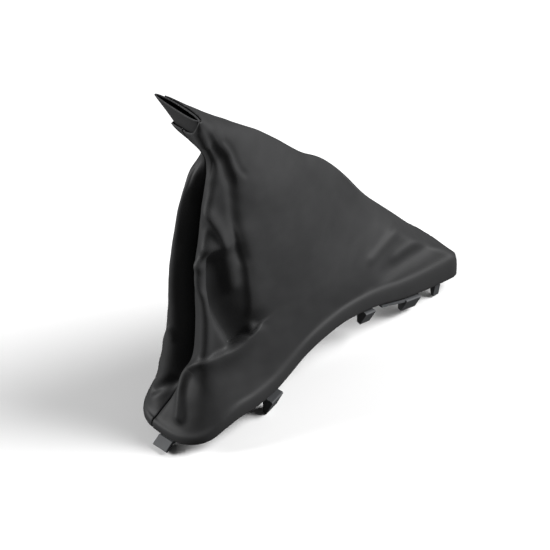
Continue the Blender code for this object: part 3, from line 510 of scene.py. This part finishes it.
HEM_ROWS = len(forms[1]) - BOOT_ROWS - 1
inwards = {}
for edge, beside in ((0, 6), (-1, -7)):
    inward = -(normals_of[1][:, beside] + normals_of[-1][:, beside])
    inward[:, 1] = 0.0
    inwards[edge] = inward / np.linalg.norm(inward, axis=1)[:, None]
leather = leather_material("boot leather", 0.5)
backing = cloth_material("backing cloth", (0.02, 0.02, 0.021), (0.07, 0.07, 0.072))
cut_edge = cloth_material("cut edge", (0.03, 0.03, 0.031), (0.07, 0.07, 0.072))
for side, label in ((1, "right"), (-1, "left")):
    grid = forms[side].copy()
    normal = normals_of[side]
    heights = heights_of[side]
    boot = grid[HEM_ROWS:].reshape(-1, 3)
    boot_normals = normal[HEM_ROWS:].reshape(-1, 3)
    rise, slip = np.zeros(len(boot)), np.zeros(len(boot))
    for fold in FOLDS:
        if fold.side == side:
            own = fold_rise(fold, boot, boot_normals)
            rise += own
            slip += own * fold.sag
    for i, point in enumerate(boot):
        for amount, scale in UNEVENNESS:
            rise[i] += amount * noise.noise(Vector(point) * scale)
    held = ease(heights / 0.03) * (1.0 - ease((heights - 0.955) / 0.03))
    for edge in (0, -1):
        to_seam = np.linalg.norm(grid[HEM_ROWS:] - grid[HEM_ROWS:, edge:edge + 1 or None],
                                 axis=2)
        held *= ease(to_seam / SEAM_HOLD)
    lifted = rise.reshape(held.shape) * held
    slipped = slip.reshape(held.shape) * held
    upward = np.gradient(grid[HEM_ROWS:], axis=0)
    upward /= np.linalg.norm(upward, axis=2)[..., None]
    grid[HEM_ROWS:] += normal[HEM_ROWS:] * lifted[..., None] + upward * slipped[..., None]

    # the spine rises and dips along its seam, and the front seam lies in a deep valley
    to_seam = np.linalg.norm(grid[HEM_ROWS:] - grid[HEM_ROWS:, -1:], axis=2)
    lift = through(SPINE_HEIGHTS, SPINE_LIFTS, heights.ravel()).reshape(heights.shape)
    grid[HEM_ROWS:, :, 2] += lift * np.exp(-(to_seam / SPINE_REACH) ** 2)
    to_seam = np.linalg.norm(grid[HEM_ROWS:] - grid[HEM_ROWS:, :1], axis=2)
    valley = VALLEY_DEPTH * ease((heights + 0.02) / 0.13)
    valley *= 1.0 - ease((heights - 0.66) / 0.12)
    valley *= np.exp(-(to_seam / VALLEY_REACH[side]) ** 2)
    grid[HEM_ROWS:] += inwards[0][HEM_ROWS:, None] * valley[..., None]

    # the leather beside each seam rolls in, and the seam allowance stands inside
    for edge in (0, -1):
        inward = inwards[edge]
        to_seam = np.linalg.norm(grid - grid[:, edge:edge + 1 or None], axis=2)
        missing = np.clip(SEAM_ROLL - to_seam, 0.0, SEAM_ROLL)
        sunk = SEAM_ROLL - np.sqrt(SEAM_ROLL * SEAM_ROLL - missing * missing)
        grid += inward[:, None, :] * sunk[..., None]
        rim_edge = grid[:, edge]
        tall = np.concatenate((np.zeros(HEM_ROWS), heights[:, edge]))
        tucked = inward * (1.0 - 0.9 * ease((tall - 0.66) / 0.12))[:, None]
        extra = np.stack([rim_edge + tucked * depth for depth in SEAM_ALLOWANCE], 1)
        if edge == 0:
            grid = np.concatenate((extra[:, ::-1], grid), 1)
        else:
            grid = np.concatenate((grid, extra), 1)

    panel = sheet_object(f"{label}_leather", grid, False, side < 0)
    panel.data.materials.append(leather)
    panel.data.materials.append(backing)
    panel.data.materials.append(cut_edge)
    thicken(panel, LEATHER_THICKNESS)
    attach(panel, "root")
    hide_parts(f"{label}_panel")

# --- Neck sleeve: a short tube of the same leather, cloth backed, that stands open at the
# top, where the lever comes through.
SLEEVE_LENGTH = 31.0
SLEEVE_ROWS = 25
SLEEVE_COLUMNS = 96
SLEEVE_THICKNESS = 0.0009
SLEEVE_INSET, SLEEVE_TAPER = 1.5, 1.2
sleeve_rows = []
knots = LEVEL_HEIGHTS[1:]
fronts = np.insert(FRONT_SEAM, 1, 0.0, axis=1)
spines = np.insert(TOP_SEAM, 1, 0.0, axis=1)
turns = 2.0 * np.pi * (np.arange(SLEEVE_COLUMNS) + 0.5) / SLEEVE_COLUMNS
for i in range(SLEEVE_ROWS):
    below = 1.0 - i / (SLEEVE_ROWS - 1.0)
    drop = below * SLEEVE_LENGTH / COLLAR_LENGTH
    height = np.array([1.0 - drop * (1.0 - LEVEL_HEIGHTS[-2])])
    inset = SLEEVE_INSET + SLEEVE_TAPER * below
    pressed = ease((i - 10.0) / 14.0)
    ridge = through(knots, RIDGE, height)[0]
    centre = np.array((ridge[0], 0.0, ridge[2]))
    lips = []
    for path in (fronts, spines):
        lip = through(knots, path, height)[0]
        rising = lip - through(knots, path, height - 0.01)[0]
        if path is spines:
            lip[2] += through(SPINE_HEIGHTS, SPINE_LIFTS, height)[0]
        level = centre - lip
        level /= np.linalg.norm(level)
        lean = np.linalg.norm(np.cross(level, rising / np.linalg.norm(rising)))
        lips.append(lip + level * (inset / lean))
    ahead = np.cos(turns) > 0.0
    across = np.sign(np.sin(turns)) * np.abs(np.sin(turns)) ** 0.8
    reach = np.where(ahead[:, None], lips[0] - centre, lips[1] - centre)
    reach = reach * np.where(ahead, 1.0 - 0.25 * pressed, 1.0)[:, None]
    row = centre + reach * (np.abs(np.cos(turns)) ** 0.8)[:, None]
    row[:, 1] = (ridge[1] - inset) * across
    row += np.outer(pressed * np.maximum(-across, 0.0) ** 2, (1.5, -1.8, 0.8))
    sleeve_rows.append(row)
sleeve = sheet_object("sleeve_leather", np.array(sleeve_rows), True, False)
sleeve.data.materials.append(leather_material("sleeve leather", 0.5))
sleeve.data.materials.append(backing)
sleeve.data.materials.append(cut_edge)
thicken(sleeve, SLEEVE_THICKNESS)
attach(sleeve, "root")
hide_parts("neck_sleeve")

# --- Frame: one injection moulding of dark grey plastic, clipped into the console, with a
# fine spark-eroded texture from the mould.
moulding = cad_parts["frame"]
plastic = bpy.data.materials.new("moulded plastic")
plastic.use_nodes = True
nodes, links = plastic.node_tree.nodes, plastic.node_tree.links
shader = nodes["Principled BSDF"]
place = nodes.new("ShaderNodeTexCoord")
sparks = nodes.new("ShaderNodeTexNoise")
sparks.inputs["Scale"].default_value = 2200.0
sparks.inputs["Detail"].default_value = 2.0
scuffs = nodes.new("ShaderNodeTexNoise")
scuffs.inputs["Scale"].default_value = 90.0
scuffs.inputs["Detail"].default_value = 4.0
tone = nodes.new("ShaderNodeValToRGB")
tone.color_ramp.elements[0].position = 0.3
tone.color_ramp.elements[0].color = (0.070, 0.073, 0.077, 1.0)
tone.color_ramp.elements[1].position = 0.7
tone.color_ramp.elements[1].color = (0.092, 0.095, 0.100, 1.0)
bump = nodes.new("ShaderNodeBump")
bump.inputs["Strength"].default_value = 0.25
bump.inputs["Distance"].default_value = 0.00005
links.new(place.outputs["Object"], sparks.inputs["Vector"])
links.new(place.outputs["Object"], scuffs.inputs["Vector"])
links.new(scuffs.outputs["Fac"], tone.inputs["Fac"])
links.new(tone.outputs["Color"], shader.inputs["Base Color"])
links.new(sparks.outputs["Fac"], bump.inputs["Height"])
links.new(bump.outputs["Normal"], shader.inputs["Normal"])
shader.inputs["Roughness"].default_value = 0.5
shader.inputs["Specular IOR Level"].default_value = 0.25
moulding.data.materials.clear()
moulding.data.materials.append(plastic)

# --- Studio: white paper floor under the part, white surroundings and soft boxes.
bpy.ops.mesh.primitive_plane_add(size=6.0, location=(0.0, 0.0, -0.0003))
floor = bpy.context.object
floor.name = "studio_floor"
paper = bpy.data.materials.new("studio paper")
paper.use_nodes = True
paper_nodes, paper_links = paper.node_tree.nodes, paper.node_tree.links
paper_shader = paper_nodes["Principled BSDF"]
paper_seen = paper_nodes.new("ShaderNodeLightPath")
paper_tone = paper_nodes.new("ShaderNodeMapRange")
paper_tone.inputs["To Min"].default_value = 0.15
paper_tone.inputs["To Max"].default_value = 1.0
paper_links.new(paper_seen.outputs["Is Camera Ray"], paper_tone.inputs["Value"])
paper_links.new(paper_tone.outputs["Result"], paper_shader.inputs["Base Color"])
paper_shader.inputs["Roughness"].default_value = 0.9
paper_shader.inputs["Specular IOR Level"].default_value = 0.0
floor.data.materials.append(paper)
floor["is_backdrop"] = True

world = bpy.data.worlds.new("studio")
bpy.context.scene.world = world
world.use_nodes = True
world_nodes, world_links = world.node_tree.nodes, world.node_tree.links
backdrop = world_nodes["Background"]
backdrop.inputs["Color"].default_value = (1.0, 1.0, 1.0, 1.0)
seen = world_nodes.new("ShaderNodeLightPath")
strength = world_nodes.new("ShaderNodeMapRange")
strength.inputs["To Min"].default_value = 0.06
strength.inputs["To Max"].default_value = 1.0
world_links.new(seen.outputs["Is Camera Ray"], strength.inputs["Value"])
world_links.new(strength.outputs["Result"], backdrop.inputs["Strength"])

aim = Vector((-0.00905, 0.0, 0.0778))
for name, where, size, power in (
        ("key", (1.12, -1.12, 1.2), 1.0, 62.0),
        ("rim", (-1.2, 1.15, 0.75), 0.7, 33.0)):
    lamp = bpy.data.lights.new(name, "AREA")
    lamp.shape = "SQUARE"
    lamp.size = size
    lamp.energy = power
    holder = bpy.data.objects.new(name, lamp)
    holder.location = where
    holder.rotation_euler = (aim - Vector(where)).to_track_quat("-Z", "Y").to_euler()
    bpy.context.scene.collection.objects.link(holder)

lens = bpy.data.cameras.new("camera")
camera = bpy.data.objects.new("camera", lens)
bpy.context.scene.collection.objects.link(camera)
camera.location = (-3.6348, -5.0357, 5.126)
camera.rotation_euler = (math.radians(50.5851), math.radians(6.28297),
                         math.radians(-40.89741))
lens.lens = 36.0 * 8.0 / (550 / 1500)
lens.clip_start = 0.5
lens.clip_end = 30.0
bpy.context.scene.camera = camera
bpy.context.scene.view_settings.view_transform = "Standard"

low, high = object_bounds()
